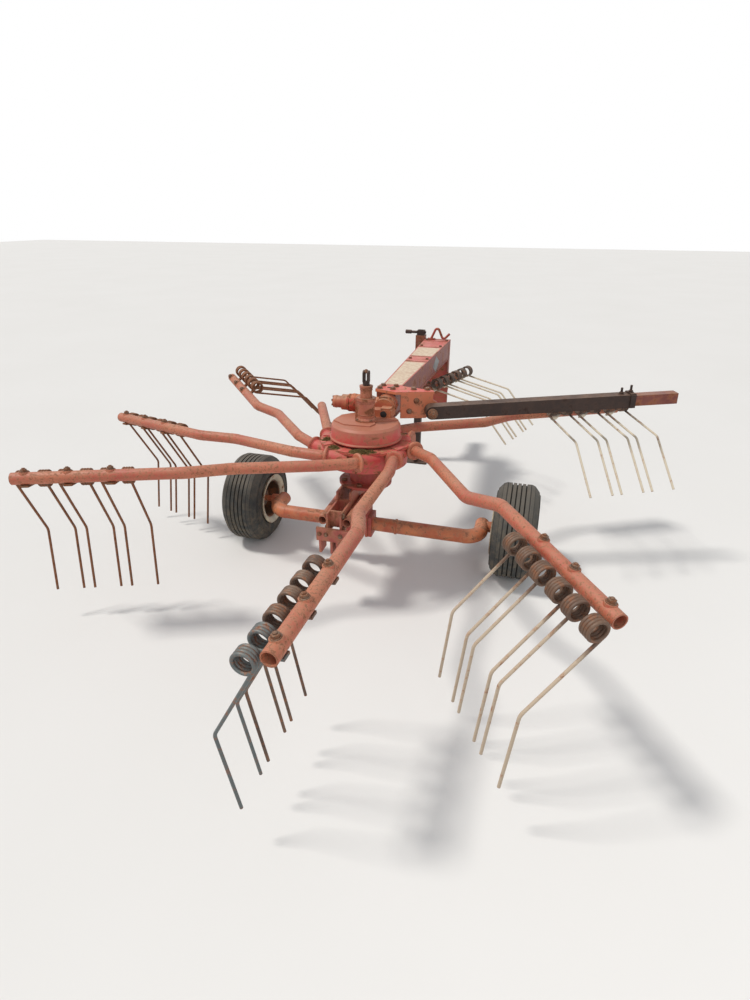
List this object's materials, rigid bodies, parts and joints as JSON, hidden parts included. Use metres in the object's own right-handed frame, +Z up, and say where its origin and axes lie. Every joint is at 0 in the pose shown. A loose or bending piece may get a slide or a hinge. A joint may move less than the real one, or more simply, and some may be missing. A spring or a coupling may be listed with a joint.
{
  "type": "rotary hay rake",
  "caption": "Tractor-drawn single-rotor hay rake: bent tubular arms with spring tines, one broken arm and one empty socket, drawbar, parking stand, swath arm without its curtain, ribbed implement tyres.",
  "frame": {"origin": "on the ground, under the middle of the box round the whole machine", "axes": "+Y forward along the drawbar to the hitch, +X to the right, +Z up"},
  "size_m": [2.5982, 3.1148, 0.9477],
  "materials": {
    "red_paint": "worn",
    "faded_paint": "faded and worn",
    "rusty_steel": "rusty",
    "dark_steel": "dark, worn",
    "tyre_rubber": "dusty",
    "wheel_paint": "worn"
  },
  "bodies": {
    "frame": {"drawbar": "faded_paint", "drawbar_head": "red_paint", "hitch_tongue": "red_paint", "hose_hook": "red_paint", "stand_sleeve": "red_paint", "gearbox": "faded_paint", "gear_cap": "faded_paint", "tower_tube": "faded_paint", "tower_spindle": "faded_paint", "tower_eye": "dark_steel", "cross_bracket": "faded_paint", "swath_pin": "dark_steel", "centre_column": "red_paint", "frame_plates": "rusty_steel", "frame_tubes": "rusty_steel", "rear_bracket": "rusty_steel", "axle_cheeks": "red_paint", "axle": "faded_paint"},
    "rotor": {"rotor_hub": "red_paint", "arm_2": "faded_paint", "arm_3": "faded_paint", "arm_4": "faded_paint", "arm_5": "faded_paint", "arm_6": "faded_paint", "arm_7": "faded_paint", "arm_8": "faded_paint", "arm_9": "faded_paint", "tines_2": "rusty_steel", "tines_3": "rusty_steel", "tines_5": "rusty_steel", "tines_6": "rusty_steel", "tines_7": "rusty_steel", "tines_8": "rusty_steel", "tines_9": "rusty_steel"},
    "wheel_left": {"rim_left": "wheel_paint", "tyre_left": "tyre_rubber"},
    "wheel_right": {"rim_right": "wheel_paint", "tyre_right": "tyre_rubber"},
    "input": {"input_shaft": "rusty_steel"},
    "swath_arm": {"swath_bar": "dark_steel"},
    "swath_end": {"swath_extension": "red_paint"},
    "stand": {"stand_leg": "dark_steel"}
  },
  "joints": [
    {"name": "rotor_spin", "type": "hinge", "parent": "frame", "child": "rotor", "pos_m": [0.002, -0.22359, 0.626], "axis": [0, 0.0349, 0.9994], "continuous": true},
    {"name": "wheel_left_spin", "type": "hinge", "parent": "frame", "child": "wheel_left", "pos_m": [-0.641, -0.02059, 0.215], "axis": [1, 0, 0], "continuous": true},
    {"name": "wheel_right_spin", "type": "hinge", "parent": "frame", "child": "wheel_right", "pos_m": [0.645, -0.02059, 0.215], "axis": [1, 0, 0], "continuous": true},
    {"name": "input_shaft_spin", "type": "hinge", "parent": "frame", "child": "input", "pos_m": [0.048, 1.19241, 0.765], "axis": [0, 1, 0], "continuous": true},
    {"name": "swath_arm_fold", "type": "hinge", "parent": "frame", "child": "swath_arm", "pos_m": [0.242, -0.04359, 0.748], "axis": [0.3256, -0.9455, 0], "range_deg": [0, 95]},
    {"name": "swath_extension_slide", "type": "slide", "parent": "swath_arm", "child": "swath_end", "axis": [0.9445, 0.3252, 0.0454], "range_m": [0, 0.25]},
    {"name": "stand_slide", "type": "slide", "parent": "frame", "child": "stand", "axis": [0, 0, 1], "range_m": [0, 0.3]}
  ],
  "couplings": [
    {"joint": "input_shaft_spin", "follows": "rotor_spin", "ratio": -6.2}
  ]
}
